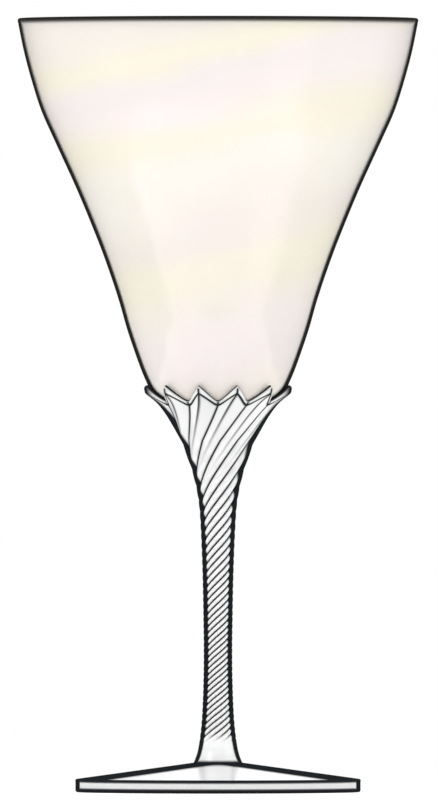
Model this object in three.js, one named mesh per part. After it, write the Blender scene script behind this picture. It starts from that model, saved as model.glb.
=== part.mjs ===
// Water goblet: an iridised flared bowl in the scalloped calyx of a clear twisted stem, on a clear foot.
// Millimetres, +Z up, with the origin at the centre of the face that it stands on.
// The real goblet is three gathers of glass fused hot: each seats on the next, and nothing fastens it.
import * as THREE from "three";

// Foot: a low cone with an upright edge, hollowed underneath so that it stands on a ring
const FOOT_RADIUS = 36.9;
const FOOT_HEIGHT = 7.5;
const FOOT_EDGE_HEIGHT = 3.35;
const FOOT_ARRIS_RADIUS = 0.4;
const FOOT_RING_WIDTH = 7.5;
const FOOT_HOLLOW_DEPTH = 0.8;
const FOOT_SEAT_MARGIN = 0.3;

// Stem: a fluted rod that flares to its base and, above the waist, to the calyx that holds the bowl
const STEM_HEIGHT = 88.5;
const STEM_BASE_RADIUS = 6.3;
const STEM_WAIST_RADIUS = 3.7;
const STEM_WAIST_HEIGHT = 30.5;
const PLAIN_BASE_HEIGHT = 5;
const FLUTE_FADE_HEIGHT = 3;

// Calyx: petals round the bowl's bottom, each with a thick lip. Heights are above the bowl's seat
const PETALS = 12;
const PETAL_TIP_HEIGHT = 9.2;
const PETAL_VALLEY_HEIGHT = 5.2;
const TIP_LIP_HEIGHT = 2.2;
const VALLEY_LIP_HEIGHT = 1.2;
const TIP_LIP_THICKNESS = 1.8;
const VALLEY_LIP_THICKNESS = 1;
const CALYX_WALL = 2.4;
const SEAT_CLEARANCE = 0.3;

// Bowl: a thin wall from a rounded bottom, over the neck where it leaves the calyx, to the rim
const BOWL_HEIGHT = 104;
const BOWL_RIM_RADIUS = 51.8;
const BOWL_NECK_HEIGHT = 9.3;
const BOWL_NECK_RADIUS = 18.25;
const BOWL_SEAT_RADIUS = 4;
const BOWL_RIM_WALL = 1.2;
const BOWL_BASE_WALL = 2.6;
const BOWL_THICK_BASE_HEIGHT = 37;

// Flutes: how far they lean from the upright at the calyx and down the stem, and how soon that is reached
const RIM_LEAN = THREE.MathUtils.degToRad(20);
const STEM_LEAN = THREE.MathUtils.degToRad(58);
const LEAN_SETTLES_OVER = 38;
const RIDGES_ROUND_OVER = 26;
const CALYX_FLUTE_DEPTH_SHARE = 0.05;
const STEM_FLUTE_DEPTH_SHARE = 0.09;

// Fineness of the facets
const STEPS_PER_PETAL = 6;
const LATHE_SEGMENTS = 60;
const ROW_TWIST = THREE.MathUtils.degToRad(28);
const ROW_HEIGHT = 2.2;
const TWIST_STEP = 0.1;
const CALYX_ROWS = 8;
const CUP_ROWS = 8;
const CUP_ROW_CROWDING = 1.6;
const UPPER_BOWL_ROWS = 13;
const RIM_STEPS = 4;
const HOLLOW_STEPS = 4;
const ARRIS_STEPS = 2;

// Outlines, as pairs of height share and radius share
const BASE_FLARE_SHARES = [
  [0, 1],
  [0.03, 0.85],
  [0.075, 0.665],
  [0.14, 0.495],
  [0.235, 0.345],
  [0.36, 0.2],
  [0.55, 0.085],
  [0.77, 0.015],
  [1, 0],
];
const CALYX_FLARE_SHARES = [
  [0, 0],
  [0.215, 0.014],
  [0.34, 0.028],
  [0.455, 0.048],
  [0.535, 0.068],
  [0.59, 0.096],
  [0.65, 0.146],
  [0.715, 0.224],
  [0.78, 0.323],
  [0.84, 0.437],
  [0.89, 0.552],
  [0.93, 0.668],
  [0.965, 0.802],
  [1, 1],
];
const BOWL_BOTTOM_SHARES = [
  [0, 0],
  [0.054, 0.126],
  [0.129, 0.274],
  [0.237, 0.435],
  [0.355, 0.575],
  [0.473, 0.695],
  [0.58, 0.786],
  [0.71, 0.877],
  [0.85, 0.947],
  [1, 1],
];
const BOWL_FLARE_SHARES = [
  [0, 0],
  [0.045, 0.053],
  [0.148, 0.153],
  [0.23, 0.219],
  [0.312, 0.295],
  [0.395, 0.381],
  [0.532, 0.539],
  [0.67, 0.715],
  [0.752, 0.817],
  [0.835, 0.892],
  [0.917, 0.953],
  [1, 1],
];
const HOLLOW_SHARES = [
  [0, 1],
  [0.5, 0.72],
  [0.85, 0.2],
  [1, 0],
];
const PETAL_POINT_SHARE = 0.3;

// Levels that the pieces share
const SEAT_LEVEL = FOOT_HEIGHT + STEM_HEIGHT;
const TIP_ARRIS_LEVEL = SEAT_LEVEL + PETAL_TIP_HEIGHT - TIP_LIP_HEIGHT;
const WAIST_LEVEL = FOOT_HEIGHT + STEM_WAIST_HEIGHT;
const FLUTES_START_LEVEL = FOOT_HEIGHT + PLAIN_BASE_HEIGHT;
const BOWL_EDGE_HEIGHT = BOWL_HEIGHT - BOWL_RIM_WALL / 2;

// The radius share of an outline at a height share, on a smooth curve through its points
function shareAt(outline, at) {
  const last = outline.length - 1;
  let i = 0;
  while (i < last - 1 && at > outline[i + 1][0]) i++;
  const slope = (a, b) => (outline[b][1] - outline[a][1]) / (outline[b][0] - outline[a][0]);
  const low = slope(Math.max(i - 1, 0), i + 1);
  const high = slope(i, Math.min(i + 2, last));
  const width = outline[i + 1][0] - outline[i][0];
  const t = (at - outline[i][0]) / width;
  const rise = outline[i + 1][1] - outline[i][1];
  const a = low * width - rise;
  const b = rise - high * width;
  return outline[i][1] + t * rise + t * (1 - t) * ((1 - t) * a + t * b);
}

const mix = THREE.MathUtils.lerp;
const smooth = (from, to, at) => THREE.MathUtils.smoothstep(at, from, to);

// The bowl's outer radius at a height above its seat
function bowlRadius(height) {
  if (height < BOWL_NECK_HEIGHT) {
    return mix(BOWL_SEAT_RADIUS, BOWL_NECK_RADIUS, shareAt(BOWL_BOTTOM_SHARES, height / BOWL_NECK_HEIGHT));
  }
  const at = (height - BOWL_NECK_HEIGHT) / (BOWL_EDGE_HEIGHT - BOWL_NECK_HEIGHT);
  return mix(BOWL_NECK_RADIUS, BOWL_RIM_RADIUS, shareAt(BOWL_FLARE_SHARES, at));
}

// The radius of the stem's ridges at a level
const CALYX_RADIUS = bowlRadius(TIP_ARRIS_LEVEL - SEAT_LEVEL) + SEAT_CLEARANCE + CALYX_WALL;
function ridgeRadius(level) {
  if (level < WAIST_LEVEL) {
    const at = (level - FOOT_HEIGHT) / STEM_WAIST_HEIGHT;
    return mix(STEM_WAIST_RADIUS, STEM_BASE_RADIUS, shareAt(BASE_FLARE_SHARES, at));
  }
  const at = (level - WAIST_LEVEL) / (TIP_ARRIS_LEVEL - WAIST_LEVEL);
  return mix(STEM_WAIST_RADIUS, CALYX_RADIUS, shareAt(CALYX_FLARE_SHARES, at));
}

// How far the flutes have turned at a level, summed from the calyx down
function lean(level) {
  const settled = 1 - Math.exp(-Math.max(TIP_ARRIS_LEVEL - level, 0) / LEAN_SETTLES_OVER);
  return mix(RIM_LEAN, STEM_LEAN, settled);
}
const turned = [0];
for (let level = TIP_ARRIS_LEVEL; level > FOOT_HEIGHT; level -= TWIST_STEP) {
  const middle = level - TWIST_STEP / 2;
  turned.push(turned.at(-1) + (TWIST_STEP * Math.tan(lean(middle))) / ridgeRadius(middle));
}
function twist(level) {
  const at = Math.max(TIP_ARRIS_LEVEL - level, 0) / TWIST_STEP;
  const step = Math.min(Math.floor(at), turned.length - 2);
  return mix(turned[step], turned[step + 1], at - step);
}

// Across one petal, from -1 at a valley over 0 at the tip to 1 at the next valley
const STEPS_AROUND = PETALS * STEPS_PER_PETAL;
const acrossPetal = (step) => (2 * (step % STEPS_PER_PETAL)) / STEPS_PER_PETAL - 1;

// The scalloped edge: 0 in the rounded valley, 1 at the pointed tip, with nearly straight flanks
function scallop(across) {
  const fromValley = 1 - Math.abs(across);
  const rounded = Math.hypot(fromValley, PETAL_POINT_SHARE) - PETAL_POINT_SHARE;
  return rounded / (Math.hypot(1, PETAL_POINT_SHARE) - PETAL_POINT_SHARE);
}

// The stem's outer radius: sharp ridges under the petal tips turn into rounded reeds down the stem
function stemRadius(level, across) {
  const rounding = smooth(0, RIDGES_ROUND_OVER, TIP_ARRIS_LEVEL - level);
  const sharp = 1 - Math.abs(across);
  const reeded = Math.cos((across * Math.PI) / 2);
  const raised = mix(sharp, reeded, rounding);
  const depthShare = mix(CALYX_FLUTE_DEPTH_SHARE, STEM_FLUTE_DEPTH_SHARE, rounding);
  const shown = smooth(FLUTES_START_LEVEL, FLUTES_START_LEVEL + FLUTE_FADE_HEIGHT, level);
  return ridgeRadius(level) * (1 - depthShare * shown * (1 - raised));
}

function pointAt(radius, angle, level) {
  return new THREE.Vector3(radius * Math.cos(angle), radius * Math.sin(angle), level);
}

// One ring of the stem's surface, from a function of the place across a petal. It turns as a whole, so
// the scalloped rings of the calyx turn by a level of their own
function ring(place, turnLevel) {
  return Array.from({ length: STEPS_AROUND }, (_, step) => {
    const { radius, level } = place(acrossPetal(step));
    return pointAt(radius, (2 * Math.PI * step) / STEPS_AROUND - twist(turnLevel), level);
  });
}

// A closed solid through rings that run from a point on the axis to another one
function solidThrough(start, rings, end) {
  const points = [start, ...rings.flat(), end];
  const faces = [];
  const at = (row, step) => 1 + row * STEPS_AROUND + (step % STEPS_AROUND);
  for (let step = 0; step < STEPS_AROUND; step++) {
    faces.push(0, at(0, step + 1), at(0, step));
    for (let row = 0; row < rings.length - 1; row++) {
      faces.push(at(row, step), at(row, step + 1), at(row + 1, step + 1));
      faces.push(at(row, step), at(row + 1, step + 1), at(row + 1, step));
    }
    faces.push(at(rings.length - 1, step), at(rings.length - 1, step + 1), points.length - 1);
  }
  return new THREE.BufferGeometry().setFromPoints(points).setIndex(faces);
}

// Levels of the stem's level rings, close enough to follow its twist and its curve
function stemLevels(top) {
  const levels = [FOOT_HEIGHT];
  for (let level = FOOT_HEIGHT; level < top - ROW_HEIGHT / 2; level += TWIST_STEP) {
    const last = levels.at(-1);
    if (twist(last) - twist(level) > ROW_TWIST || level - last > ROW_HEIGHT) levels.push(level);
  }
  return [...levels, top];
}

// Height shares of the rows where the bowl sits in its cup, closer together towards the flat bottom
const cupShares = Array.from({ length: CUP_ROWS + 1 }, (_, i) => (i / CUP_ROWS) ** CUP_ROW_CROWDING);

function makeStem() {
  const lipTop = (across) => SEAT_LEVEL + mix(PETAL_VALLEY_HEIGHT, PETAL_TIP_HEIGHT, scallop(across));
  const lipHeight = (across) => mix(VALLEY_LIP_HEIGHT, TIP_LIP_HEIGHT, scallop(across));
  const lipThickness = (across) => mix(VALLEY_LIP_THICKNESS, TIP_LIP_THICKNESS, scallop(across));
  const arris = (across) => lipTop(across) - lipHeight(across);
  const cupRadius = (level) => bowlRadius(level - SEAT_LEVEL) + SEAT_CLEARANCE;
  const lowArris = arris(1);
  const calyxFoot = lowArris - PETAL_TIP_HEIGHT;

  const rings = stemLevels(calyxFoot).map((level) =>
    ring((across) => ({ radius: stemRadius(level, across), level }), level),
  );
  for (let row = 1; row <= CALYX_ROWS; row++) {
    rings.push(
      ring((across) => {
        const level = mix(calyxFoot, arris(across), row / CALYX_ROWS);
        return { radius: stemRadius(level, across), level };
      }, mix(calyxFoot, TIP_ARRIS_LEVEL, row / CALYX_ROWS)),
    );
  }
  rings.push(
    ring((across) => {
      const level = lipTop(across) - lipThickness(across) / 2;
      return { radius: cupRadius(level) + lipThickness(across), level };
    }, TIP_ARRIS_LEVEL),
  );
  rings.push(
    ring((across) => {
      const level = lipTop(across);
      return { radius: cupRadius(level) + lipThickness(across) / 2, level };
    }, TIP_ARRIS_LEVEL),
  );
  for (const heightShare of cupShares.toReversed()) {
    rings.push(
      ring((across) => {
        const level = mix(SEAT_LEVEL, lipTop(across), heightShare);
        return { radius: cupRadius(level), level };
      }, TIP_ARRIS_LEVEL),
    );
  }
  return solidThrough(new THREE.Vector3(0, 0, FOOT_HEIGHT), rings, new THREE.Vector3(0, 0, SEAT_LEVEL));
}

// A solid turned about +Z, from a profile of radius and level that starts and ends on the axis
function turnedSolid(profile) {
  return new THREE.LatheGeometry(profile, LATHE_SEGMENTS).rotateX(Math.PI / 2);
}

// The bowl's inner surface lies one wall in from the outer one, and the wall thickens downwards
function innerPoint(height) {
  const reach = BOWL_RIM_WALL / 4;
  const below = Math.max(height - reach, 0);
  const above = height + reach;
  const along = new THREE.Vector2(bowlRadius(above) - bowlRadius(below), above - below).normalize();
  const wall = mix(BOWL_BASE_WALL, BOWL_RIM_WALL, smooth(0, BOWL_THICK_BASE_HEIGHT, height));
  return new THREE.Vector2(bowlRadius(height) - along.y * wall, height + along.x * wall);
}

function makeBowl() {
  const heights = cupShares.map((share) => share * BOWL_NECK_HEIGHT);
  for (let row = 1; row < UPPER_BOWL_ROWS; row++) {
    heights.push(mix(BOWL_NECK_HEIGHT, BOWL_EDGE_HEIGHT, row / UPPER_BOWL_ROWS));
  }
  const outer = heights.map((height) => new THREE.Vector2(bowlRadius(height), height));
  const rim = Array.from({ length: RIM_STEPS + 1 }, (_, step) => {
    const turn = (Math.PI * step) / RIM_STEPS;
    const inwards = (BOWL_RIM_WALL / 2) * (1 - Math.cos(turn));
    const upwards = (BOWL_RIM_WALL / 2) * Math.sin(turn);
    return new THREE.Vector2(BOWL_RIM_RADIUS - inwards, BOWL_EDGE_HEIGHT + upwards);
  });
  const inner = heights.slice(1).map(innerPoint).reverse();
  return turnedSolid([
    new THREE.Vector2(0, 0),
    ...outer,
    ...rim,
    ...inner,
    new THREE.Vector2(0, BOWL_BASE_WALL),
  ]);
}

function makeFoot() {
  const corner = (radius, level, from) =>
    Array.from({ length: ARRIS_STEPS + 1 }, (_, i) => {
      const turn = from + (i / ARRIS_STEPS) * (Math.PI / 2);
      return new THREE.Vector2(
        radius + FOOT_ARRIS_RADIUS * Math.cos(turn),
        level + FOOT_ARRIS_RADIUS * Math.sin(turn),
      );
    });
  const edge = FOOT_RADIUS - FOOT_ARRIS_RADIUS;
  const hollowRadius = FOOT_RADIUS - FOOT_RING_WIDTH;
  const hollow = Array.from({ length: HOLLOW_STEPS + 1 }, (_, i) => {
    const at = i / HOLLOW_STEPS;
    return new THREE.Vector2(hollowRadius * at, FOOT_HOLLOW_DEPTH * shareAt(HOLLOW_SHARES, at));
  });
  return turnedSolid([
    ...hollow,
    ...corner(edge, FOOT_ARRIS_RADIUS, -Math.PI / 2),
    ...corner(edge, FOOT_EDGE_HEIGHT - FOOT_ARRIS_RADIUS, 0),
    new THREE.Vector2(STEM_BASE_RADIUS + FOOT_SEAT_MARGIN, FOOT_HEIGHT),
    new THREE.Vector2(0, FOOT_HEIGHT),
  ]);
}

const clearGlass = new THREE.MeshStandardMaterial({
  color: 0xeef3f2,
  roughness: 0.05,
  metalness: 0,
  transparent: true,
  opacity: 0.45,
});
const pearlGlass = new THREE.MeshStandardMaterial({
  color: 0xf8efe4,
  roughness: 0.08,
  metalness: 0,
  transparent: true,
  opacity: 0.6,
});

function piece(name, geometry, material) {
  const mesh = new THREE.Mesh(geometry, material.clone());
  mesh.name = name;
  return mesh;
}

const goblet = new THREE.Group();
const bowl = piece("bowl", makeBowl(), pearlGlass);
bowl.position.z = SEAT_LEVEL;
goblet.add(piece("foot", makeFoot(), clearGlass), piece("stem_and_calyx", makeStem(), clearGlass), bowl);

export default goblet;
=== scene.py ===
"""Water goblet: an iridescent bowl in the scalloped calyx of a clear twisted stem, on a clear foot."""

import math

import bpy
import numpy as np
from bpy.props import FloatProperty, FloatVectorProperty, IntProperty, PointerProperty
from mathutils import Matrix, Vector


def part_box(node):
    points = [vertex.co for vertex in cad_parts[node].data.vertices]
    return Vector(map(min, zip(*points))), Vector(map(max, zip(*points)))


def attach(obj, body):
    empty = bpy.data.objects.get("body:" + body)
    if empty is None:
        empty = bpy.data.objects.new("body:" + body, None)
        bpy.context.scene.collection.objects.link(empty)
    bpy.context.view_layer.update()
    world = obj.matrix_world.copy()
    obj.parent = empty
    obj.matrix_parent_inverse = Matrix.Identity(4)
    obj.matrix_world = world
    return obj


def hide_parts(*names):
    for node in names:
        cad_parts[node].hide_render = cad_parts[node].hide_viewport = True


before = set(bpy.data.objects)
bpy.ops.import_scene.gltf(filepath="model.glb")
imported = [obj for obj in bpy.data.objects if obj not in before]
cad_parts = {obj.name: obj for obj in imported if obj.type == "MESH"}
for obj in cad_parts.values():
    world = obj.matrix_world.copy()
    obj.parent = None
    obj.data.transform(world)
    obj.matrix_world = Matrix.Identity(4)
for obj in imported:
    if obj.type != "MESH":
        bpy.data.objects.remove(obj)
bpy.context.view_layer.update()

bl_info = {
    "name": "Water Goblet",
    "version": (1, 0, 0),
    "blender": (4, 5, 0),
    "location": "3D View > Sidebar > Goblet",
    "description": "Builds a stemmed water goblet in iridescent and clear glass",
    "category": "Add Mesh",
}

MM = 0.001
TOLERANCE = 0.01 * MM
UP = (0, 0, 1)
DOWN = (0, 0, -1)

# The CAD boxes, which the ends and the widest places of the pieces come from
FOOT_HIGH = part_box("foot")[1]
STEM_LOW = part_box("stem_and_calyx")[0]
BOWL_LOW, BOWL_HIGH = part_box("bowl")
FOOT_RADIUS = FOOT_HIGH.x
RIM_RADIUS = BOWL_HIGH.x
BOWL_HEIGHT = BOWL_HIGH.z - BOWL_LOW.z

# Outlines, as pairs of height share and radius share
BASE_FLARE_SHARES = [
    (0, 1), (0.03, 0.85), (0.075, 0.665), (0.14, 0.495), (0.235, 0.345), (0.36, 0.2),
    (0.55, 0.085), (0.77, 0.015), (1, 0),
]
CALYX_FLARE_SHARES = [
    (0, 0), (0.215, 0.014), (0.34, 0.028), (0.455, 0.048), (0.535, 0.068), (0.59, 0.096), (0.65, 0.146),
    (0.715, 0.224), (0.78, 0.323), (0.84, 0.437), (0.89, 0.552), (0.93, 0.668), (0.965, 0.802), (1, 1),
]
BOWL_BOTTOM_SHARES = [
    (0, 0), (0.054, 0.126), (0.129, 0.274), (0.237, 0.435), (0.355, 0.575), (0.473, 0.695), (0.58, 0.786),
    (0.71, 0.877), (0.85, 0.947), (1, 1),
]
BOWL_FLARE_SHARES = [
    (0, 0), (0.045, 0.053), (0.148, 0.153), (0.23, 0.219), (0.312, 0.295), (0.395, 0.381), (0.532, 0.539),
    (0.67, 0.715), (0.752, 0.817), (0.835, 0.892), (0.917, 0.953), (1, 1),
]

# The hollow under the foot, as pairs of radius share and depth share
HOLLOW_SHARES = [(0, 1), (0.5, 0.72), (0.85, 0.2), (1, 0)]

# The pearly bands of the bowl, as pairs of height share and tint
PEARL_BAND_SHARES = [
    (0.0, "beige"), (0.1, "beige"), (0.155, "lilac"), (0.215, "pink"), (0.28, "peach"), (0.34, "yellow"),
    (0.4, "yellow"), (0.48, "beige"), (0.62, "cream"), (0.71, "yellow"), (0.8, "pink"), (0.865, "lilac"),
    (0.935, "yellow"), (1.0, "beige"),
]

# How blunt the petals' points are, and how often the flutes are drawn smooth
PETAL_POINT_SHARE = 0.3
POLISH_ROUNDS = 4

# Rows of faces across each form
BOTTOM_ROWS = 24
RIM_ROWS = 12
HOLLOW_ROWS = 24
ARRIS_ROWS = 6
UPRIGHT_ROWS = 12
CONE_ROWS = 32
BEVEL_ROWS = 8
LIP_ROWS = 10
CUP_ROWS = 24
TWIST_LEVELS = 2000

# How rows crowd towards a place that bends more, where 1 is even spacing
BOTTOM_CROWDING = 1.6
RIM_CROWDING = 1.4
CONE_CROWDING = 1.7
CALYX_CROWDING = 1.4
CUP_CROWDING = 1.6
PETAL_CROWDING_SHARE = 0.6

# Dark lines of painted shade: how steeply they end, and how wide two of them are against the size that they
# come from
SOFT_LINE = 4
CRISP_LINE = 8
RIM_LINE_SHARE = 1.3
FOOT_LINE_SHARE = 1.6

# How much sooner painted shade darkens the foot's upright edge, and that the inside of bowl and calyx never
# gets it
UPRIGHT_REACH_SHARE = 0.15
INNER_REACH_SHARE = -1

# Optics of the glass and of its iridescent film
GLASS_IOR = 1.5
FILM_IOR = 1.4
# EVEN_BLEND is the blend of the Layer Weight that places the painted dark edges
EVEN_BLEND = 0.5

# Where the noise that lets the pearly bands drift is taken from, in waves over a metre
DRIFT_SCALE = (22, 22, 60)
DRIFT_START = (3, 1, 0)

# Each lamp's name, place, width and power, and the place that they shine at
LAMPS = (
    ("key_lamp", (-0.9, -0.7, 0.9), 0.6, 3.5),
    ("fill_lamp", (1.0, -0.4, 0.6), 0.8, 1.8),
    ("back_lamp", (0.3, 1.1, 0.8), 0.8, 2.0),
)
LAMP_AIM = (0, 0, 0.12)

# The gap under the foot that keeps the floor out of its lowest face
FLOOR_GAP = 0.1 * MM

# Brightness of the surroundings between heights from -1, underfoot, to 1, overhead:
# the glass mirrors a dark belt round the horizon, and shows a little more than white through itself
BELT_TOP = (0.09, 0.19)
BELT_BOTTOM = (-0.45, -0.7)
BELT_BRIGHTNESS = 0.15
OVERHEAD = (0.2, 0.8)
OVERHEAD_BRIGHTNESS = 1.08


def mix(low, high, share):
    """The value at a share of the way from low to high."""
    return low + (high - low) * share


def smooth(low, high, value):
    """0 up to low, 1 from high on, and an eased rise between them."""
    share = np.clip((value - low) / (high - low), 0, 1)
    return share * share * (3 - 2 * share)


def spread(count, crowding=1.0):
    """Shares from 0 to 1, closer together towards 0 where crowding is over 1."""
    return (np.arange(count + 1) / count) ** crowding


def shade_line(distance, width, steepness=SOFT_LINE):
    """1 along the middle of a line, falling steeply at its half width."""
    return np.exp(-((distance / width) ** steepness))


def share_at(outline, at):
    """The second shares of an outline at first shares, on a smooth curve through its points."""
    places, shares = np.array(outline, float).T
    last = len(places) - 1
    at = np.asarray(at, float)
    i = np.clip(np.searchsorted(places, at, side="left") - 1, 0, last - 1)

    def slope(a, b):
        return (shares[b] - shares[a]) / (places[b] - places[a])

    low = slope(np.maximum(i - 1, 0), i + 1)
    high = slope(i, np.minimum(i + 2, last))
    width = places[i + 1] - places[i]
    rise = shares[i + 1] - shares[i]
    t = (at - places[i]) / width
    a = low * width - rise
    b = rise - high * width
    return shares[i] + t * rise + t * (1 - t) * ((1 - t) * a + t * b)


class BowlSizes(bpy.types.PropertyGroup):
    """Sizes, tints and finish of the blown bowl."""

    neck_height: FloatProperty(
        name="Neck Height", description="Height above its seat at which the bowl leaves the calyx",
        default=9.3 * MM, subtype="DISTANCE", precision=5,
    )
    neck_radius: FloatProperty(
        name="Neck Radius", description="Outer radius where the bowl leaves the calyx",
        default=18.25 * MM, subtype="DISTANCE", precision=5,
    )
    seat_radius: FloatProperty(
        name="Seat Radius", description="Radius of the flat that the bowl sits on",
        default=4 * MM, subtype="DISTANCE", precision=5,
    )
    rim_wall: FloatProperty(
        name="Rim Wall", description="Thickness of the glass at the rim",
        default=1.2 * MM, subtype="DISTANCE", precision=5,
    )
    base_wall: FloatProperty(
        name="Base Wall", description="Thickness of the glass at the bottom",
        default=2.6 * MM, subtype="DISTANCE", precision=5,
    )
    thick_base_height: FloatProperty(
        name="Thick Base Height", description="Height over which the wall thins from the bottom",
        default=37 * MM, subtype="DISTANCE", precision=5,
    )
    # The glass's dark edge is painted shade: a near-black mixed into the colour where the glass is seen edge
    # on
    edge_width: FloatProperty(
        name="Edge Width", description="Width of the glass's dark edge",
        default=1 * MM, subtype="DISTANCE", precision=5,
    )
    edge_start_share: FloatProperty(
        name="Edge Start", description="How edge on the glass is where it starts to darken",
        default=0.75, subtype="FACTOR", min=0, max=1,
    )
    edge_full_share: FloatProperty(
        name="Edge Full", description="How edge on the glass is where it is fully dark",
        default=0.85, subtype="FACTOR", min=0, max=1,
    )
    segments: IntProperty(name="Segments", description="Faces round the bowl", default=224, min=24)
    rows: IntProperty(name="Rows", description="Rows of faces from the neck to the rim", default=90, min=8)
    beige: FloatVectorProperty(
        name="Beige", description="Greyed cream of the pearly glass", subtype="COLOR", size=3, min=0, max=1,
        default=(0.975, 0.93, 0.88),
    )
    cream: FloatVectorProperty(
        name="Cream", description="Palest tint of the pearly glass", subtype="COLOR", size=3, min=0, max=1,
        default=(0.998, 0.972, 0.914),
    )
    yellow: FloatVectorProperty(
        name="Yellow", description="Straw tint of the pearly glass", subtype="COLOR", size=3, min=0, max=1,
        default=(0.997, 0.961, 0.843),
    )
    peach: FloatVectorProperty(
        name="Peach", description="Peach tint of the pearly glass", subtype="COLOR", size=3, min=0, max=1,
        default=(0.998, 0.957, 0.885),
    )
    pink: FloatVectorProperty(
        name="Pink", description="Pink tint of the pearly glass", subtype="COLOR", size=3, min=0, max=1,
        default=(0.998, 0.945, 0.925),
    )
    lilac: FloatVectorProperty(
        name="Lilac", description="Lilac tint of the pearly glass", subtype="COLOR", size=3, min=0, max=1,
        default=(0.978, 0.93, 0.92),
    )
    # This tint is the near-black of the painted shade in the dark edges and along the rim
    painted_shade_tint: FloatVectorProperty(
        name="Edge Tint", description="Colour of the glass's dark edges and creases",
        subtype="COLOR", size=3, min=0, max=1, default=(0.015, 0.014, 0.012),
    )
    clear_share: FloatProperty(
        name="Clearness", description="How much light goes through the glass",
        default=0.45, subtype="FACTOR", min=0, max=1,
    )
    roughness: FloatProperty(
        name="Roughness", description="How much the glass scatters light",
        default=0.12, subtype="FACTOR", min=0, max=1,
    )
    gloss_share: FloatProperty(
        name="Gloss", description="How strongly the glass mirrors",
        default=0.4, subtype="FACTOR", min=0, max=1,
    )
    coat_share: FloatProperty(
        name="Polish", description="Strength of the fire-polished skin",
        default=0.3, subtype="FACTOR", min=0, max=1,
    )
    coat_roughness: FloatProperty(
        name="Polish Roughness", description="How much this skin scatters light",
        default=0.04, subtype="FACTOR", min=0, max=1,
    )
    ripple_width: FloatProperty(
        name="Ripple Width", description="Width of the faint waves in the glass",
        default=16 * MM, subtype="DISTANCE", precision=5,
    )
    ripple_height: FloatProperty(
        name="Ripple Height", description="Height of these waves",
        default=0.12 * MM, subtype="DISTANCE", precision=6,
    )
    film_thickness: FloatProperty(
        name="Film Thickness", description="Thickness of the iridescent film in nanometres",
        default=500, min=0, max=1000,
    )
    band_slope: FloatProperty(
        name="Band Slope", description="How steeply the pearly bands climb across the bowl", default=0.2,
    )
    band_drift_share: FloatProperty(
        name="Band Drift", description="How far the pearly bands drift, against the bowl's height",
        default=0.18, subtype="FACTOR", min=0, max=1,
    )


class FootSizes(bpy.types.PropertyGroup):
    """Sizes and finish of the foot."""

    edge_height: FloatProperty(
        name="Edge Height", description="Height of the upright edge",
        default=3.35 * MM, subtype="DISTANCE", precision=5,
    )
    arris_radius: FloatProperty(
        name="Arris Radius", description="Rounding of the edge's two arrises",
        default=0.4 * MM, subtype="DISTANCE", precision=5,
    )
    # The dark lines along the arrises are painted shade
    arris_shade: FloatProperty(
        name="Arris Shade", description="Half the width of the shade along the edge's two arrises",
        default=0.75 * MM, subtype="DISTANCE", precision=5,
    )
    # The glass's dark edge is painted shade: a near-black mixed into the colour where the glass is seen edge
    # on
    edge_width: FloatProperty(
        name="Edge Width", description="Width of the glass's dark edge",
        default=1 * MM, subtype="DISTANCE", precision=5,
    )
    edge_start_share: FloatProperty(
        name="Edge Start", description="How edge on the glass is where it starts to darken",
        default=0.888, subtype="FACTOR", min=0, max=1,
    )
    edge_full_share: FloatProperty(
        name="Edge Full", description="How edge on the glass is where it is fully dark",
        default=0.904, subtype="FACTOR", min=0, max=1,
    )
    ring_width: FloatProperty(
        name="Ring Width", description="Width of the flat ring that the foot stands on",
        default=7.5 * MM, subtype="DISTANCE", precision=5,
    )
    hollow_depth: FloatProperty(
        name="Hollow Depth", description="Depth of the hollow under the foot",
        default=0.8 * MM, subtype="DISTANCE", precision=5,
    )
    seat_margin: FloatProperty(
        name="Seat Margin", description="Width of the flat round the stem",
        default=0.3 * MM, subtype="DISTANCE", precision=5,
    )
    segments: IntProperty(name="Segments", description="Faces round the foot", default=192, min=24)
    tint: FloatVectorProperty(
        name="Tint", description="Colour of the clear glass",
        subtype="COLOR", size=3, min=0, max=1, default=(0.985, 0.99, 0.988),
    )
    # This tint is the near-black of the painted shade in the dark edges and along the arrises
    painted_shade_tint: FloatVectorProperty(
        name="Edge Tint", description="Colour of the glass's dark edges and creases",
        subtype="COLOR", size=3, min=0, max=1, default=(0.012, 0.014, 0.016),
    )
    clear_share: FloatProperty(
        name="Clearness", description="How much light goes through the glass",
        default=0.42, subtype="FACTOR", min=0, max=1,
    )
    roughness: FloatProperty(
        name="Roughness", description="How much the glass scatters light",
        default=0.3, subtype="FACTOR", min=0, max=1,
    )
    gloss_share: FloatProperty(
        name="Gloss", description="How strongly the glass mirrors",
        default=0.2, subtype="FACTOR", min=0, max=1,
    )
    coat_share: FloatProperty(
        name="Polish", description="Strength of the fire-polished skin",
        default=0.16, subtype="FACTOR", min=0, max=1,
    )
    coat_roughness: FloatProperty(
        name="Polish Roughness", description="How much this skin scatters light",
        default=0.08, subtype="FACTOR", min=0, max=1,
    )
    ripple_width: FloatProperty(
        name="Ripple Width", description="Width of the faint waves in the glass",
        default=9 * MM, subtype="DISTANCE", precision=5,
    )
    ripple_height: FloatProperty(
        name="Ripple Height", description="Height of these waves",
        default=0.015 * MM, subtype="DISTANCE", precision=6,
    )


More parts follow.
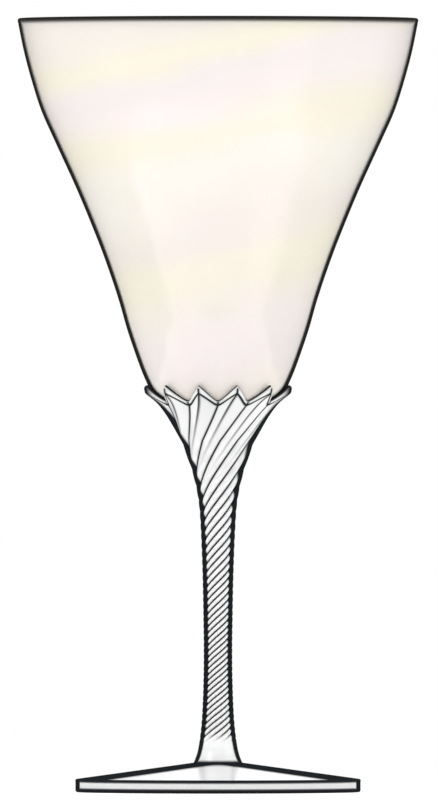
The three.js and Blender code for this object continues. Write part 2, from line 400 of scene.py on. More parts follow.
class StemSizes(bpy.types.PropertyGroup):
    """Sizes and finish of the stem and its calyx."""

    waist_radius: FloatProperty(
        name="Waist Radius", description="Radius of the stem's reeds at its thinnest",
        default=3.7 * MM, subtype="DISTANCE", precision=5,
    )
    waist_height: FloatProperty(
        name="Waist Height", description="Height of the thinnest place above the foot",
        default=30.5 * MM, subtype="DISTANCE", precision=5,
    )
    base_radius: FloatProperty(
        name="Base Radius", description="Radius where the stem meets the foot",
        default=6.3 * MM, subtype="DISTANCE", precision=5,
    )
    plain_height: FloatProperty(
        name="Plain Height", description="Height of the plain glass under the flutes",
        default=5 * MM, subtype="DISTANCE", precision=5,
    )
    fade_height: FloatProperty(
        name="Flute Fade", description="Height over which the flutes run out",
        default=3 * MM, subtype="DISTANCE", precision=5,
    )
    petals: IntProperty(name="Petals", description="Petals round the calyx", default=12, min=3)
    tip_height: FloatProperty(
        name="Petal Tip Height", description="Height of the petals' tips above the bowl's seat",
        default=9.2 * MM, subtype="DISTANCE", precision=5,
    )
    valley_height: FloatProperty(
        name="Petal Valley Height", description="Height of the calyx's edge between two petals",
        default=5.2 * MM, subtype="DISTANCE", precision=5,
    )
    tip_lip: FloatProperty(
        name="Tip Lip Height", description="Height of the bevelled lip at a petal's tip",
        default=2.2 * MM, subtype="DISTANCE", precision=5,
    )
    valley_lip: FloatProperty(
        name="Valley Lip Height", description="Height of the bevelled lip between two petals",
        default=1.2 * MM, subtype="DISTANCE", precision=5,
    )
    tip_thickness: FloatProperty(
        name="Tip Thickness", description="Thickness of a petal's lip at its tip",
        default=1.8 * MM, subtype="DISTANCE", precision=5,
    )
    valley_thickness: FloatProperty(
        name="Valley Thickness", description="Thickness of the lip between two petals",
        default=1 * MM, subtype="DISTANCE", precision=5,
    )
    calyx_wall: FloatProperty(
        name="Calyx Wall", description="Thickness of the calyx under a petal's lip",
        default=2.4 * MM, subtype="DISTANCE", precision=5,
    )
    clearance: FloatProperty(
        name="Clearance", description="Gap between the calyx and the bowl",
        default=0.3 * MM, subtype="DISTANCE", precision=5,
    )
    rim_lean: FloatProperty(
        name="Rim Lean", description="Lean of the flutes at the calyx's edge",
        default=math.radians(20), subtype="ANGLE",
    )
    stem_lean: FloatProperty(
        name="Stem Lean", description="Lean that the flutes settle to down the stem",
        default=math.radians(58), subtype="ANGLE",
    )
    lean_settles: FloatProperty(
        name="Lean Settles Over", description="Height that the flutes take to reach most of their lean",
        default=38 * MM, subtype="DISTANCE", precision=5,
    )
    rounding_height: FloatProperty(
        name="Rounding Height", description="Height over which sharp ridges turn into rounded reeds",
        default=26 * MM, subtype="DISTANCE", precision=5,
    )
    calyx_depth_share: FloatProperty(
        name="Calyx Flute Depth", description="Depth of the flutes at the calyx, as a share of the radius",
        default=0.05, subtype="FACTOR", min=0, max=0.5,
    )
    stem_depth_share: FloatProperty(
        name="Stem Flute Depth", description="Depth of the flutes on the stem, as a share of the radius",
        default=0.12, subtype="FACTOR", min=0, max=0.5,
    )
    # The glass's dark edge is painted shade: a near-black mixed into the colour where the glass is seen edge
    # on
    edge_width: FloatProperty(
        name="Edge Width", description="Width of the glass's dark edge",
        default=1 * MM, subtype="DISTANCE", precision=5,
    )
    edge_start_share: FloatProperty(
        name="Edge Start", description="How edge on the glass is where it starts to darken",
        default=0.62, subtype="FACTOR", min=0, max=1,
    )
    edge_full_share: FloatProperty(
        name="Edge Full", description="How edge on the glass is where it is fully dark",
        default=0.72, subtype="FACTOR", min=0, max=1,
    )
    # The dark lines along the grooves, the sharp ridges, the lips and the stem's foot are painted shade
    crease_width: FloatProperty(
        name="Crease Width", description="Half the width of the shade along a crease in the glass",
        default=0.4 * MM, subtype="DISTANCE", precision=5,
    )
    steps_per_petal: IntProperty(name="Steps", description="Faces across one petal", default=24, min=6)
    row_height: FloatProperty(
        name="Row Height", description="Height of one row of faces",
        default=0.3 * MM, subtype="DISTANCE", precision=5,
    )
    tint: FloatVectorProperty(
        name="Tint", description="Colour of the clear glass", subtype="COLOR", size=3, min=0, max=1,
        default=(0.985, 0.99, 0.988),
    )
    # This tint is the near-black of the painted shade in the dark edges and creases
    painted_shade_tint: FloatVectorProperty(
        name="Edge Tint", description="Colour of the glass's dark edges and creases",
        subtype="COLOR", size=3, min=0, max=1, default=(0.012, 0.014, 0.016),
    )
    clear_share: FloatProperty(
        name="Clearness", description="How much light goes through the glass",
        default=0.28, subtype="FACTOR", min=0, max=1,
    )
    roughness: FloatProperty(
        name="Roughness", description="How much the glass scatters light",
        default=0.22, subtype="FACTOR", min=0, max=1,
    )
    gloss_share: FloatProperty(
        name="Gloss", description="How strongly the glass mirrors",
        default=0.5, subtype="FACTOR", min=0, max=1,
    )
    coat_share: FloatProperty(
        name="Polish", description="Strength of the fire-polished skin",
        default=0.4, subtype="FACTOR", min=0, max=1,
    )
    coat_roughness: FloatProperty(
        name="Polish Roughness", description="How much this skin scatters light",
        default=0.08, subtype="FACTOR", min=0, max=1,
    )
    ripple_width: FloatProperty(
        name="Ripple Width", description="Width of the faint waves in the glass",
        default=9 * MM, subtype="DISTANCE", precision=5,
    )
    ripple_height: FloatProperty(
        name="Ripple Height", description="Height of these waves",
        default=0.06 * MM, subtype="DISTANCE", precision=6,
    )


class StageSettings(bpy.types.PropertyGroup):
    """The camera, the lamps, the floor and the white surroundings."""

    lens: FloatProperty(
        name="Lens", description="Focal length, long enough for an almost flat elevation",
        default=930, unit="CAMERA", min=50,
    )
    frame_height: FloatProperty(
        name="Frame Height", description="Height that the picture takes in at the goblet",
        default=207.6 * MM, subtype="DISTANCE", precision=5,
    )
    aim_height: FloatProperty(
        name="Aim Height", description="Height of the picture's middle above the floor",
        default=100.9 * MM, subtype="DISTANCE", precision=5,
    )
    aim_side: FloatProperty(
        name="Aim Side", description="How far the picture's middle lies right of the stem's axis",
        default=0.26 * MM, subtype="DISTANCE", precision=5,
    )
    floor_size: FloatProperty(
        name="Floor Size", description="Width of the floor", default=0.44, subtype="DISTANCE",
    )
    floor_tint: FloatVectorProperty(
        name="Floor Tint", description="Colour of the floor", subtype="COLOR", size=3, min=0, max=1,
        default=(0.88, 0.88, 0.88),
    )
    floor_glow: FloatProperty(
        name="Floor Glow", description="Light that the floor adds to the camera and to the glass",
        default=0.3, min=0,
    )
    daylight: FloatProperty(
        name="Daylight", description="Strength of the light from all round", default=1.19, min=0,
    )


# Meshes

def mesh_object(name, rings, start, end, shades, normals=None):
    """A closed smooth solid through rings of points that run from a point on the axis to another one.

    Each of the named shades, which say where painted shade goes, becomes a value of every point, which the
    glass reads. So do the normals, which say where the form under the flutes faces.
    """
    rows, steps = rings.shape[:2]
    points = np.vstack([[start], rings.reshape(-1, 3), [end]])
    faces = []
    for step in range(steps):
        after = (step + 1) % steps
        faces.append((0, 1 + after, 1 + step))
        for row in range(rows - 1):
            low, high = 1 + row * steps, 1 + (row + 1) * steps
            faces.append((low + step, low + after, high + after, high + step))
        last = 1 + (rows - 1) * steps
        faces.append((last + step, last + after, len(points) - 1))
    mesh = bpy.data.meshes.new(name)
    mesh.from_pydata(points.tolist(), [], faces)
    mesh.shade_smooth()
    for shade, values in shades.items():
        values = np.concatenate([[0], values.ravel(), [0]]).astype(np.float32)
        mesh.attributes.new(shade, "FLOAT", "POINT").data.foreach_set("value", values)
    if normals is not None:
        vectors = np.vstack([[DOWN], normals.reshape(-1, 3), [UP]]).astype(np.float32)
        stored = mesh.attributes.new("round_normal", "FLOAT_VECTOR", "POINT")
        stored.data.foreach_set("vector", vectors.ravel())
    made = bpy.data.objects.new(name, mesh)
    bpy.context.scene.collection.objects.link(made)
    return made


def turned_object(name, profile, shades, segments):
    """A solid turned about the axis, from an outline of radius and height between two points on the axis."""
    outline = profile[1:-1]
    turn = 2 * math.pi * np.arange(segments) / segments
    radius = outline[:, :1]
    rings = np.dstack([radius * np.cos(turn), radius * np.sin(turn), outline[:, 1:] + 0 * turn])
    round_shades = {shade: values[1:-1, None] + 0 * turn for shade, values in shades.items()}
    return mesh_object(name, rings, (0, 0, profile[0][1]), (0, 0, profile[-1][1]), round_shades)


def crease_lines(profile, creases, width):
    """The crisp dark lines of painted shade at an outline's points, from their distance to its creases."""
    distance = np.linalg.norm(profile[:, None] - np.array(creases)[None], axis=2)
    return shade_line(distance.min(axis=1), width, CRISP_LINE)


def even_reach(radius, widest, width, upright=1.0):
    """How much sooner a round wall's painted dark edge sets in than at its widest, so that this painted shade
    keeps its width.
    """
    radius = np.clip(radius, width, widest)
    return upright * np.sqrt(2 * width / radius) - math.sqrt(2 * width / widest)


def stand_for(piece, cad_node, material):
    """Gives a piece its material, puts it on the goblet's body and hides the CAD node that it stands for."""
    piece.data.materials.append(material)
    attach(piece, "root")
    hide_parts(cad_node)


# The bowl

def bowl_radius(height, sizes):
    """The bowl's outer radius at heights above its seat."""
    height = np.asarray(height, float)
    edge_height = BOWL_HEIGHT - sizes.rim_wall / 2
    bottom = share_at(BOWL_BOTTOM_SHARES, np.clip(height / sizes.neck_height, 0, 1))
    flare = share_at(
        BOWL_FLARE_SHARES, np.clip((height - sizes.neck_height) / (edge_height - sizes.neck_height), 0, 1)
    )
    return np.where(
        height < sizes.neck_height,
        mix(sizes.seat_radius, sizes.neck_radius, bottom),
        mix(sizes.neck_radius, RIM_RADIUS, flare),
    )


def bowl_inside(heights, sizes):
    """Points inside the wall, each square to the outside at one of the heights."""
    near = sizes.rim_wall / 4
    run = bowl_radius(heights + near, sizes) - bowl_radius(heights - near, sizes)
    along = np.column_stack([run, np.full_like(run, 2 * near)])
    along /= np.linalg.norm(along, axis=1, keepdims=True)
    wall = mix(sizes.base_wall, sizes.rim_wall, smooth(0, sizes.thick_base_height, heights))
    return np.column_stack([bowl_radius(heights, sizes) - along[:, 1] * wall, heights + along[:, 0] * wall])


def bowl_profile(sizes):
    """The bowl's outline from the middle of its seat up the outside, over the rim and down the inside."""
    half_wall = sizes.rim_wall / 2
    edge_height = BOWL_HEIGHT - half_wall
    bottom = sizes.neck_height * spread(BOTTOM_ROWS, BOTTOM_CROWDING)
    flare = mix(edge_height, sizes.neck_height, spread(sizes.rows, RIM_CROWDING)[-2:0:-1])
    heights = np.concatenate([bottom, flare])
    outer = np.column_stack([bowl_radius(heights, sizes), heights])
    turn = math.pi * spread(RIM_ROWS)
    rim = np.column_stack(
        [RIM_RADIUS - half_wall * (1 - np.cos(turn)), edge_height + half_wall * np.sin(turn)]
    )
    inner = bowl_inside(heights[1:], sizes)[::-1]
    profile = np.vstack([[(0, 0)], outer, rim, inner, [(0, sizes.base_wall)]])
    # Painted shade: a dark line along the top of the rim, and a dark edge that keeps its width down the
    # outside but never falls inside
    rim_top = (RIM_RADIUS - half_wall, edge_height + half_wall)
    lines = crease_lines(profile, [rim_top], RIM_LINE_SHARE * sizes.rim_wall)
    reach = even_reach(profile[:, 0], RIM_RADIUS, sizes.edge_width)
    reach[-len(inner) - 1:] = INNER_REACH_SHARE
    profile[:, 1] += BOWL_LOW.z
    return profile, {"crease": lines, "edge_reach": reach}


# The foot

def foot_profile(sizes, stem):
    """The foot's outline from the middle of its hollow, round the edge and up the cone to the stem."""
    edge = FOOT_RADIUS - sizes.arris_radius
    low = sizes.arris_radius
    high = sizes.edge_height - sizes.arris_radius
    seat = stem.base_radius + sizes.seat_margin

    def arris(height, start):
        turn = start + math.pi / 2 * spread(ARRIS_ROWS)
        return np.column_stack(
            [edge + sizes.arris_radius * np.cos(turn), height + sizes.arris_radius * np.sin(turn)]
        )

    at = spread(HOLLOW_ROWS)
    hollow_radius = FOOT_RADIUS - sizes.ring_width
    hollow = np.column_stack([hollow_radius * at, sizes.hollow_depth * share_at(HOLLOW_SHARES, at)])
    upright = [(FOOT_RADIUS, mix(low, high, share)) for share in spread(UPRIGHT_ROWS)[1:-1]]
    share = spread(CONE_ROWS, CONE_CROWDING)[1:]
    cone = np.column_stack([mix(edge, seat, share), mix(sizes.edge_height, FOOT_HIGH.z, share)])
    top = [(0, FOOT_HIGH.z)]
    profile = np.vstack([hollow, arris(low, -math.pi / 2), upright, arris(high, 0), cone, top])
    # Painted shade: dark lines along the edge's two arrises
    creases = [(FOOT_RADIUS, sizes.arris_radius), (FOOT_RADIUS, sizes.edge_height - sizes.arris_radius / 2)]
    lines = crease_lines(profile, creases, sizes.arris_shade)
    return profile, {"crease": lines, "edge_reach": foot_reach(profile, sizes, edge, seat)}


def foot_reach(profile, sizes, edge, seat):
    """How much sooner the foot's painted dark edge sets in, so that on its cone this painted shade keeps its
    width.
    """
    on_edge = np.isclose(profile[:, 0], FOOT_RADIUS, atol=TOLERANCE)
    on_cone = (profile[:, 1] > sizes.edge_height - TOLERANCE) & ~on_edge
    rise, run = FOOT_HIGH.z - sizes.edge_height, edge - seat
    band = sizes.edge_width / (rise / run)
    radius = np.clip(profile[:, 0], band, edge)
    ring = np.sqrt(1 - (1 - band / radius) ** 2) - math.sqrt(1 - (1 - band / edge) ** 2)
    return np.where(on_cone, rise / math.hypot(rise, run) * ring, UPRIGHT_REACH_SHARE * on_edge)


# The stem and its calyx

class StemShape:
    """The surface of the stem and its calyx."""

    def __init__(self, stem, bowl):
        self.stem = stem
        self.bowl = bowl
        self.foot = STEM_LOW.z
        self.seat = BOWL_LOW.z
        self.arris = self.seat + stem.tip_height - stem.tip_lip
        self.waist = self.foot + stem.waist_height
        self.calyx_radius = float(self.cup_radius(self.arris)) + stem.calyx_wall
        self.levels = np.linspace(self.foot, self.arris, TWIST_LEVELS)
        middle = (self.levels[1:] + self.levels[:-1]) / 2
        settled = 1 - np.exp(-(self.arris - middle) / stem.lean_settles)
        lean = mix(stem.rim_lean, stem.stem_lean, settled)
        turn = np.diff(self.levels) * np.tan(lean) / self.ridge(middle)
        self.turned = np.append(np.cumsum(turn[::-1])[::-1], 0)

    def cup_radius(self, level):
        """Radius of the calyx's inside, which clears the bowl."""
        return bowl_radius(level - self.seat, self.bowl) + self.stem.clearance

    def ridge(self, level):
        """Radius of the ridges at a level."""
        low = share_at(BASE_FLARE_SHARES, np.clip((level - self.foot) / self.stem.waist_height, 0, 1))
        high = share_at(
            CALYX_FLARE_SHARES, np.clip((level - self.waist) / (self.arris - self.waist), 0, 1)
        )
        return np.where(
            level < self.waist,
            mix(self.stem.waist_radius, self.stem.base_radius, low),
            mix(self.stem.waist_radius, self.calyx_radius, high),
        )

    def twist(self, level):
        """How far the flutes have turned at a level, against the calyx."""
        return np.interp(level, self.levels, self.turned)

    def scallop(self, across):
        """0 in the rounded valley between two petals and 1 at a petal's point."""
        rounded = np.hypot(1 - np.abs(across), PETAL_POINT_SHARE) - PETAL_POINT_SHARE
        return rounded / (math.hypot(1, PETAL_POINT_SHARE) - PETAL_POINT_SHARE)

    def rounding(self, level):
        """0 where the ridges are sharp, under the petals, and 1 where they are reeds, down the stem."""
        return smooth(0, self.stem.rounding_height, self.arris - level)

    def shown(self, level):
        """0 on the plain glass above the foot and 1 where the flutes are full."""
        start = self.foot + self.stem.plain_height
        return smooth(start, start + self.stem.fade_height, level)

    def radius(self, level, across):
        """Radius of the fluted surface."""
        raised = mix(1 - np.abs(across), np.cos(across * math.pi / 2), self.rounding(level))
        depth = mix(self.stem.calyx_depth_share, self.stem.stem_depth_share, self.rounding(level))
        return self.ridge(level) * (1 - depth * self.shown(level) * (1 - raised))

    def creases(self, level, across):
        """Dark lines of painted shade along the grooves, and along the ridges where they are sharp."""
        width = self.stem.crease_width
        half_petal = math.pi * self.ridge(level) / self.stem.petals
        groove = shade_line((1 - np.abs(across)) * half_petal, width)
        ridge = shade_line(across * half_petal, width) * (1 - self.rounding(level))
        return np.maximum(groove, ridge) * self.shown(level)


def petal_steps(stem):
    """Steps round the stem: how far each lies across its petal, from -1 to 1, and its angle."""
    half = np.linspace(0, 1, stem.steps_per_petal // 2 + 1)
    crowded = (half - np.sin(2 * math.pi * half) / (2 * math.pi) * PETAL_CROWDING_SHARE)[:-1]
    one_petal = np.concatenate([crowded - 1, crowded])
    across = np.tile(one_petal, stem.petals)
    pitch = 2 * math.pi / stem.petals
    return across, (np.repeat(np.arange(stem.petals), len(one_petal)) + (across + 1) / 2) * pitch


def petal_edge(shape, across):
    """The calyx's edge: its height, the height of the arris under its lip, and half the lip's thickness."""
    stem = shape.stem
    scallop = shape.scallop(across)
    top = shape.seat + mix(stem.valley_height, stem.tip_height, scallop)
    arris = top - mix(stem.valley_lip, stem.tip_lip, scallop)
    return top, arris, mix(stem.valley_thickness, stem.tip_thickness, scallop) / 2


def fluted_rows(shape, across, arris):
    """Rows of radius, height, dark lines of painted shade and level of twist, from the foot to the arris
    under the lips.
    """
    stem = shape.stem
    calyx_foot = arris.min() - stem.tip_height
    rows = math.ceil((calyx_foot - shape.foot) / stem.row_height)
    for turn_level in np.linspace(shape.foot, calyx_foot, rows + 1):
        level = np.full_like(across, turn_level)
        # A dark line of painted shade where the stem meets the foot
        foot_line = shade_line(level - shape.foot, FOOT_LINE_SHARE * stem.crease_width)
        line = np.maximum(shape.creases(level, across), foot_line)
        yield shape.radius(level, across), level, line, turn_level
    rows = math.ceil((shape.arris - calyx_foot) / stem.row_height)
    for share in 1 - spread(rows, CALYX_CROWDING)[::-1][1:]:
        level = mix(calyx_foot, arris, share)
        # A dark line of painted shade runs under the arris of the lips
        line = np.maximum(shape.creases(level, across), shade_line(arris - level, stem.crease_width))
        yield shape.radius(level, across), level, line, mix(calyx_foot, shape.arris, share)


def lip_rows(shape, across, arris_radius, top, arris, half_lip):
    """The same rows up the lips' bevel, over their half-round edge and down the inside to the bowl's seat."""
    width = shape.stem.crease_width
    bend = top - half_lip
    # Dark lines of painted shade along the arris at the foot of the bevel and along the lips' top
    for share in spread(BEVEL_ROWS)[1:]:
        level = mix(arris, bend, share)
        radius = mix(arris_radius, shape.cup_radius(bend) + 2 * half_lip, share)
        line = np.maximum(shape.creases(level, across), shade_line(level - arris, width))
        yield radius, level, line, shape.arris
    for turn in math.pi * spread(LIP_ROWS)[1:]:
        level = bend + half_lip * np.sin(turn)
        radius = shape.cup_radius(bend) + half_lip * (1 + np.cos(turn))
        yield radius, level, shade_line(top - level, width), shape.arris
    for share in spread(CUP_ROWS, CUP_CROWDING)[-2::-1]:
        level = mix(shape.seat, bend, share)
        yield shape.cup_radius(level), level, 0 * level, shape.arris


def fire_polished(rows):
    """Rows of values with each one drawn towards its neighbours, as flame softens an arris."""
    for _ in range(POLISH_ROUNDS):
        rows = np.vstack([rows[:1], (rows[:-2] + 2 * rows[1:-1] + rows[2:]) / 4, rows[-1:]])
    return rows


def round_form(radius, level, turned):
    """Where the form under the flutes faces at each point, and how upright it stands there."""
    out, down = np.gradient(level, axis=0), np.gradient(radius, axis=0)
    length = np.hypot(out, down)
    normals = np.dstack([out * np.cos(turned), out * np.sin(turned), -down]) / length[:, :, None]
    return normals, np.abs(out) / length


def stem_rings(shape):
    """Rings of points from the stem's foot over the petals' lips to the bowl's seat, shades and normals."""
    stem = shape.stem
    across, angle = petal_steps(stem)
    top, arris, half_lip = petal_edge(shape, across)
    rows = list(fluted_rows(shape, across, arris))
    arris_radius = rows[-1][0]
    rows += lip_rows(shape, across, arris_radius, top, arris, half_lip)
    radius, level, lines, turn_levels = (np.array(column) for column in zip(*rows))
    radius, level = fire_polished(radius), fire_polished(level)
    turned = angle - shape.twist(turn_levels)[:, None]

    # A ring inside the lowest one keeps the painted dark line at the foot off the flat face underneath
    radius = np.vstack([radius[:1] - stem.crease_width, radius])
    level, turned = (np.vstack([rings[:1], rings]) for rings in (level, turned))
    lines = np.vstack([0 * lines[:1], lines])
    normals, upright = round_form(radius, level, turned)
    # The painted dark edge sets in sooner where the stem is narrow and upright, and never inside the cup
    reach = even_reach(radius, shape.calyx_radius, stem.edge_width, upright)
    reach[-CUP_ROWS:] = INNER_REACH_SHARE
    shades = {"crease": lines, "edge_reach": reach}
    return np.dstack([radius * np.cos(turned), radius * np.sin(turned), level]), shades, normals


# Materials

def node(tree, kind, inputs=None, **settings):
    """One shader node. An input is a value for its own socket, or another node's output to link."""
    made = tree.nodes.new(kind)
    for name, value in settings.items():
        setattr(made, name, value)
    for key, value in (inputs or {}).items():
        if isinstance(value, bpy.types.NodeSocket):
            tree.links.new(value, made.inputs[key])
        else:
            made.inputs[key].default_value = value
    return made


def maths(tree, operation, *values):
    """The result of an operation on values or sockets."""
    return node(tree, "ShaderNodeMath", dict(enumerate(values)), operation=operation).outputs["Value"]


def ramp(tree, value, start, end, low=0.0, high=1.0):
    """A result that eases from low to high while a value goes from start to end."""
    return node(
        tree, "ShaderNodeMapRange",
        {"Value": value, "From Min": start, "From Max": end, "To Min": low, "To Max": high},
        interpolation_type="SMOOTHSTEP",
    ).outputs["Result"]


def new_tree(name):
    """A material with an empty node tree."""
    material = bpy.data.materials.new(name)
    material.use_nodes = True
    material.node_tree.nodes.clear()
    return material, material.node_tree


def round_normal(tree):
    """The direction that the form under the flutes faces, which stays with the piece when it moves. The
    painted dark edges of fluted glass are set from it.
    """
    stored = node(tree, "ShaderNodeAttribute", attribute_name="round_normal").outputs["Vector"]
    return node(
        tree, "ShaderNodeVectorTransform", {"Vector": stored},
        vector_type="NORMAL", convert_from="OBJECT", convert_to="WORLD",
    ).outputs["Vector"]


def painted_shade_lines(tree, sizes, normal=None):
    """1 where glass is painted dark as shade: where it turns away, by its own or another normal, and in its
    creases.
    """
    inputs = {"Blend": EVEN_BLEND}
    if normal is not None:
        inputs["Normal"] = normal
    facing = node(tree, "ShaderNodeLayerWeight", inputs).outputs["Facing"]
    reach = node(tree, "ShaderNodeAttribute", attribute_name="edge_reach").outputs["Fac"]
    edge = ramp(tree, maths(tree, "ADD", facing, reach), sizes.edge_start_share, sizes.edge_full_share)
    crease = node(tree, "ShaderNodeAttribute", attribute_name="crease").outputs["Fac"]
    return maths(tree, "MAXIMUM", edge, crease)


def away_from_edges(tree, dark, most):
    """A value that is full on the open glass and goes out in its painted dark edges and creases."""
    return maths(tree, "MULTIPLY_ADD", dark, -most, most)


def blown_ripple(tree, sizes):
    """The faint unevenness of glass shaped by hand."""
    place = node(tree, "ShaderNodeTexCoord").outputs["Object"]
    scale = 1 / sizes.ripple_width
    waves = node(tree, "ShaderNodeTexNoise", {"Vector": place, "Scale": scale, "Detail": 1.0})
    return node(
        tree, "ShaderNodeBump",
        {"Height": waves.outputs["Fac"], "Strength": 1.0, "Distance": sizes.ripple_height},
    ).outputs["Normal"]


def glass_inputs(tree, sizes, tint, dark):
    """What all the glass shares: a tint, gloss and ripple, and dark lines of painted shade where these go
    out.
    """
    # Painted shade: the colour turns near-black in the dark edges and creases, and gloss, polish and
    # clearness go out there
    colour = node(
        tree, "ShaderNodeMix", {"Factor": dark, "A": tint, "B": (*sizes.painted_shade_tint, 1)}, data_type="RGBA",
    )
    ripple = blown_ripple(tree, sizes)
    return {
        "Base Color": colour.outputs["Result"],
        "Roughness": sizes.roughness,
        "IOR": GLASS_IOR,
        "Transmission Weight": away_from_edges(tree, dark, sizes.clear_share),
        "Specular IOR Level": away_from_edges(tree, dark, sizes.gloss_share),
        "Coat Weight": away_from_edges(tree, dark, sizes.coat_share),
        "Coat Roughness": sizes.coat_roughness,
        "Normal": ripple,
        "Coat Normal": ripple,
    }


def finish(tree, inputs):
    """Links the glass shader to the material's surface."""
    glass = node(tree, "ShaderNodeBsdfPrincipled", inputs)
    node(tree, "ShaderNodeOutputMaterial", {"Surface": glass.outputs["BSDF"]})


def clear_glass(name, sizes, fluted=False):
    """Clear fire-polished glass, painted dark as shade at its edges and creases. Fluted glass is painted dark
    where the form under its flutes turns away.
    """
    material, tree = new_tree(name)
    dark = painted_shade_lines(tree, sizes, round_normal(tree) if fluted else None)
    finish(tree, glass_inputs(tree, sizes, (*sizes.tint, 1), dark))
    return material


def pearly_bands(tree, sizes):
    """Tints in soft bands that climb a little across the bowl and drift up and down."""
    place = node(tree, "ShaderNodeTexCoord").outputs["Object"]
    stretched = node(
        tree, "ShaderNodeMapping", {"Vector": place, "Scale": DRIFT_SCALE, "Location": DRIFT_START},
    ).outputs["Vector"]
    noise = node(tree, "ShaderNodeTexNoise", {"Vector": stretched, "Scale": 1.0, "Detail": 2.0})
    height = node(
        tree, "ShaderNodeVectorMath", {0: place, 1: (-sizes.band_slope, 0, 1)}, operation="DOT_PRODUCT",
    ).outputs["Value"]
    drift = sizes.band_drift_share
    share = node(
        tree, "ShaderNodeMapRange",
        {
            "Value": height, "From Min": BOWL_LOW.z, "From Max": BOWL_HIGH.z,
            "To Min": -drift / 2, "To Max": 1 - drift / 2,
        },
        clamp=False,
    ).outputs["Result"]
    drifted = maths(tree, "MULTIPLY_ADD", noise.outputs["Fac"], drift, share)
    bands = node(tree, "ShaderNodeValToRGB", {"Fac": drifted})
    bands.color_ramp.interpolation = "EASE"
    stops = bands.color_ramp.elements
    for stop in list(stops)[1:]:
        stops.remove(stop)
    for at, tint in PEARL_BAND_SHARES:
        stop = stops[0] if at == 0 else stops.new(at)
        stop.position = at
        stop.color = (*getattr(sizes, tint), 1)
    return bands.outputs["Color"]


def iridescent_glass(name, sizes):
    """Pearly glass under an iridescent film, in soft level bands, with painted shade in its dark edges and
    along its rim.
    """
    material, tree = new_tree(name)
    dark = painted_shade_lines(tree, sizes)
    inputs = glass_inputs(tree, sizes, pearly_bands(tree, sizes), dark)
    # The iridescent film goes out in the painted dark edges and creases
    inputs["Thin Film Thickness"] = away_from_edges(tree, dark, sizes.film_thickness)
    inputs["Thin Film IOR"] = FILM_IOR
    finish(tree, inputs)
    return material


# The stage

def make_camera(scene, stage):
    """A level camera, so far away behind a long lens that the picture is almost a flat elevation."""
    data = bpy.data.cameras.new("camera")
    data.sensor_fit = "VERTICAL"
    data.lens = stage.lens
    distance = stage.frame_height * stage.lens / data.sensor_height
    data.clip_end = 2 * distance
    camera = bpy.data.objects.new("camera", data)
    camera.location = (stage.aim_side, -distance, stage.aim_height)
    camera.rotation_euler = (math.radians(90), 0, 0)
    scene.collection.objects.link(camera)
    scene.camera = camera


def make_floor(scene, stage):
    """A pale floor that keeps the goblet's shadow and looks white to the camera and in the glass."""
    half = stage.floor_size / 2
    corners = [(x, y, -FLOOR_GAP) for x, y in ((-half, -half), (half, -half), (half, half), (-half, half))]
    mesh = bpy.data.meshes.new("floor")
    mesh.from_pydata(corners, [], [(0, 1, 2, 3)])
    floor = bpy.data.objects.new("floor", mesh)
    scene.collection.objects.link(floor)
    material, tree = new_tree("pale_floor")
    rays = node(tree, "ShaderNodeLightPath").outputs
    seen = maths(tree, "MAXIMUM", rays["Is Camera Ray"], rays["Is Glossy Ray"])
    seen = maths(tree, "MAXIMUM", seen, rays["Is Transmission Ray"])
    glow = maths(tree, "MULTIPLY", seen, stage.floor_glow)
    matt = node(tree, "ShaderNodeBsdfDiffuse", {"Color": (*stage.floor_tint, 1)})
    lift = node(tree, "ShaderNodeEmission", {"Color": (1, 1, 1, 1), "Strength": glow})
    both = node(tree, "ShaderNodeAddShader", {0: matt.outputs[0], 1: lift.outputs[0]})
    node(tree, "ShaderNodeOutputMaterial", {"Surface": both.outputs[0]})
    mesh.materials.append(material)


def make_lamps(scene):
    """Soft area lamps in front, beside and behind, which the camera doesn't see."""
    for name, place, size, power in LAMPS:
        data = bpy.data.lights.new(name, "AREA")
        data.size = size
        data.energy = power
        lamp = bpy.data.objects.new(name, data)
        lamp.location = place
        lamp.rotation_euler = (Vector(LAMP_AIM) - lamp.location).to_track_quat("-Z", "Y").to_euler()
        lamp.visible_camera = False
        scene.collection.objects.link(lamp)


def make_world(scene, stage):
    """Surroundings that are white to the camera and mirror in the glass with a dark belt."""
    world = bpy.data.worlds.new("white_surroundings")
    world.use_nodes = True
    tree = world.node_tree
    tree.nodes.clear()
    rays = node(tree, "ShaderNodeLightPath").outputs
    place = node(tree, "ShaderNodeTexCoord").outputs["Generated"]
    height = node(tree, "ShaderNodeSeparateXYZ", {0: place}).outputs["Z"]
    above = ramp(tree, height, *BELT_TOP, BELT_BRIGHTNESS)
    below = ramp(tree, height, *BELT_BOTTOM, BELT_BRIGHTNESS)
    strength = stage.daylight
    for ray, seen in (
        ("Is Glossy Ray", maths(tree, "MAXIMUM", above, below)),
        ("Is Transmission Ray", ramp(tree, height, *OVERHEAD, 1.0, OVERHEAD_BRIGHTNESS)),
        ("Is Camera Ray", 1.0),
    ):
        strength = node(
            tree, "ShaderNodeMix", {"Factor": rays[ray], "A": strength, "B": seen}, data_type="FLOAT",
        ).outputs["Result"]
    light = node(tree, "ShaderNodeBackground", {"Color": (1, 1, 1, 1), "Strength": strength})
    node(tree, "ShaderNodeOutputWorld", {"Surface": light.outputs[0]})
    scene.world = world


# Operators, the sidebar and the run

class GOBLET_OT_stage(bpy.types.Operator):
    """Sets up the camera, the lamps, the floor and the white surroundings"""

    bl_idname = "goblet.stage"
    bl_label = "Set Up Stage"

    def execute(self, context):
        scene = context.scene
        stage = scene.goblet_stage
        scene.view_settings.view_transform = "Standard"
        make_camera(scene, stage)
        make_floor(scene, stage)
        make_lamps(scene)
        make_world(scene, stage)
        return {"FINISHED"}


class GOBLET_OT_foot(bpy.types.Operator):
    """Builds the round foot"""

    bl_idname = "goblet.foot"
    bl_label = "Build Foot"

    def execute(self, context):
        sizes = context.scene.goblet_foot
        profile, shades = foot_profile(sizes, context.scene.goblet_stem)
        piece = turned_object("goblet_foot", profile, shades, sizes.segments)
        stand_for(piece, "foot", clear_glass("clear_foot_glass", sizes))
        return {"FINISHED"}


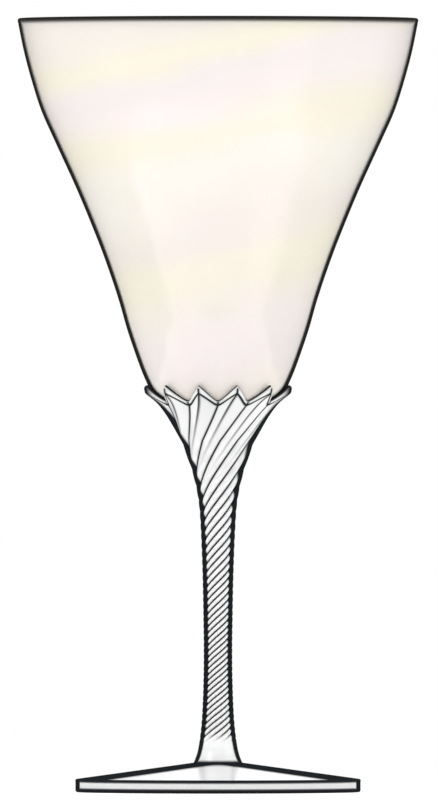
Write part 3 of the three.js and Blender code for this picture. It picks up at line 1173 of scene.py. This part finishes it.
class GOBLET_OT_stem(bpy.types.Operator):
    """Builds the twisted stem with its scalloped calyx"""

    bl_idname = "goblet.stem"
    bl_label = "Build Stem and Calyx"

    def execute(self, context):
        sizes = context.scene.goblet_stem
        shape = StemShape(sizes, context.scene.goblet_bowl)
        rings, shades, normals = stem_rings(shape)
        piece = mesh_object("twisted_stem", rings, (0, 0, shape.foot), (0, 0, shape.seat), shades, normals)
        glass = clear_glass("clear_twisted_glass", sizes, fluted=True)
        stand_for(piece, "stem_and_calyx", glass)
        return {"FINISHED"}


class GOBLET_OT_bowl(bpy.types.Operator):
    """Builds the iridescent bowl"""

    bl_idname = "goblet.bowl"
    bl_label = "Build Bowl"

    def execute(self, context):
        sizes = context.scene.goblet_bowl
        profile, shades = bowl_profile(sizes)
        piece = turned_object("goblet_bowl", profile, shades, sizes.segments)
        stand_for(piece, "bowl", iridescent_glass("pearly_iridescent_glass", sizes))
        return {"FINISHED"}


PARTS = (
    (GOBLET_OT_stage, "goblet_stage", StageSettings),
    (GOBLET_OT_foot, "goblet_foot", FootSizes),
    (GOBLET_OT_stem, "goblet_stem", StemSizes),
    (GOBLET_OT_bowl, "goblet_bowl", BowlSizes),
)


class GOBLET_PT_sidebar(bpy.types.Panel):
    """The goblet's sizes and the buttons that build it"""

    bl_idname = "GOBLET_PT_sidebar"
    bl_label = "Water Goblet"
    bl_space_type = "VIEW_3D"
    bl_region_type = "UI"
    bl_category = "Goblet"

    def draw(self, context):
        for operator, name, group in PARTS:
            box = self.layout.box()
            box.operator(operator.bl_idname)
            settings = getattr(context.scene, name)
            for setting in group.__annotations__:
                box.prop(settings, setting)


def register():
    for operator, name, group in PARTS:
        bpy.utils.register_class(group)
        setattr(bpy.types.Scene, name, PointerProperty(type=group))
        bpy.utils.register_class(operator)
    bpy.utils.register_class(GOBLET_PT_sidebar)


def unregister():
    bpy.utils.unregister_class(GOBLET_PT_sidebar)
    for operator, name, group in reversed(PARTS):
        bpy.utils.unregister_class(operator)
        delattr(bpy.types.Scene, name)
        bpy.utils.unregister_class(group)


def main():
    register()
    bpy.ops.goblet.stage()
    bpy.ops.goblet.foot()
    bpy.ops.goblet.stem()
    bpy.ops.goblet.bowl()


if __name__ == "__main__":
    main()
